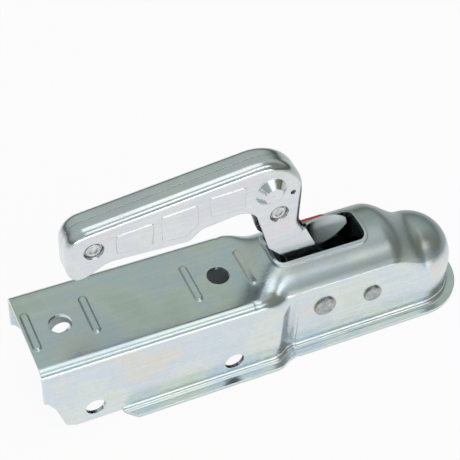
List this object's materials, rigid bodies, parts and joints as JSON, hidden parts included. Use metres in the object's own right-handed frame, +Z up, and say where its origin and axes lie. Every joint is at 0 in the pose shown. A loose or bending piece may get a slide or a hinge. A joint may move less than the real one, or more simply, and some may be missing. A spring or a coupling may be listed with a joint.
{
  "type": "trailer coupling head",
  "caption": "Pressed steel trailer coupling head: a domed socket caps a towing ball, a lift handle works the locking jaw behind it, and a channel bolts over a square drawbar.",
  "frame": {"origin": "centre of the towing ball that the dome caps", "axes": "+X towards the nose, +Y to the left side with the pointer and the red strip, +Z up"},
  "size_m": [0.2938, 0.0812, 0.1497],
  "materials": {
    "zinc_plate": "bright zinc plate on pressed sheet",
    "zinc_handle": "bright zinc plate on pressed sheet",
    "rivet_steel": "zinc plated rivet",
    "pin_steel": "dull turned steel",
    "plain_steel": "plain turned steel",
    "lock_steel": "phosphated lock steel",
    "spring_steel": "oiled spring wire",
    "red_strip": "red printed film"
  },
  "bodies": {
    "coupling": {"coupling_body": "zinc_plate", "pivot_pin": "pin_steel", "pivot_washer": "plain_steel", "right_pivot_bush": "plain_steel", "left_pivot_bush": "plain_steel", "jaw_pin": "pin_steel", "jaw_washer": "plain_steel", "right_jaw_bush": "plain_steel", "left_jaw_bush": "plain_steel", "handle_spring": "spring_steel", "jaw_spring": "spring_steel", "indicator_strip": "red_strip"},
    "handle": {"handle_right_shell": "zinc_handle", "handle_left_shell": "zinc_handle", "rear_handle_rivet": "rivet_steel", "front_handle_rivet": "rivet_steel", "rear_handle_sleeve": "plain_steel", "front_handle_sleeve": "plain_steel", "lock_cam": "lock_steel", "cam_rivets": "rivet_steel"},
    "jaw": {"locking_jaw": "lock_steel"}
  },
  "joints": [
    {"name": "handle_lift", "type": "hinge", "parent": "coupling", "child": "handle", "pos_m": [-0.0752, 0, 0.0104], "axis": [0, 1, 0], "range_deg": [0, 35], "stiffness_Nm_per_rad": 3, "springref_deg": -17.19, "deforming": ["handle_spring"]},
    {"name": "jaw_swing", "type": "hinge", "parent": "coupling", "child": "jaw", "pos_m": [-0.0413, 0, 0.0078], "axis": [0, 1, 0], "range_deg": [0, 17.5], "deforming": ["jaw_spring"]}
  ],
  "couplings": [
    {"joint": "jaw_swing", "follows": "handle_lift", "ratio": 0.5}
  ]
}
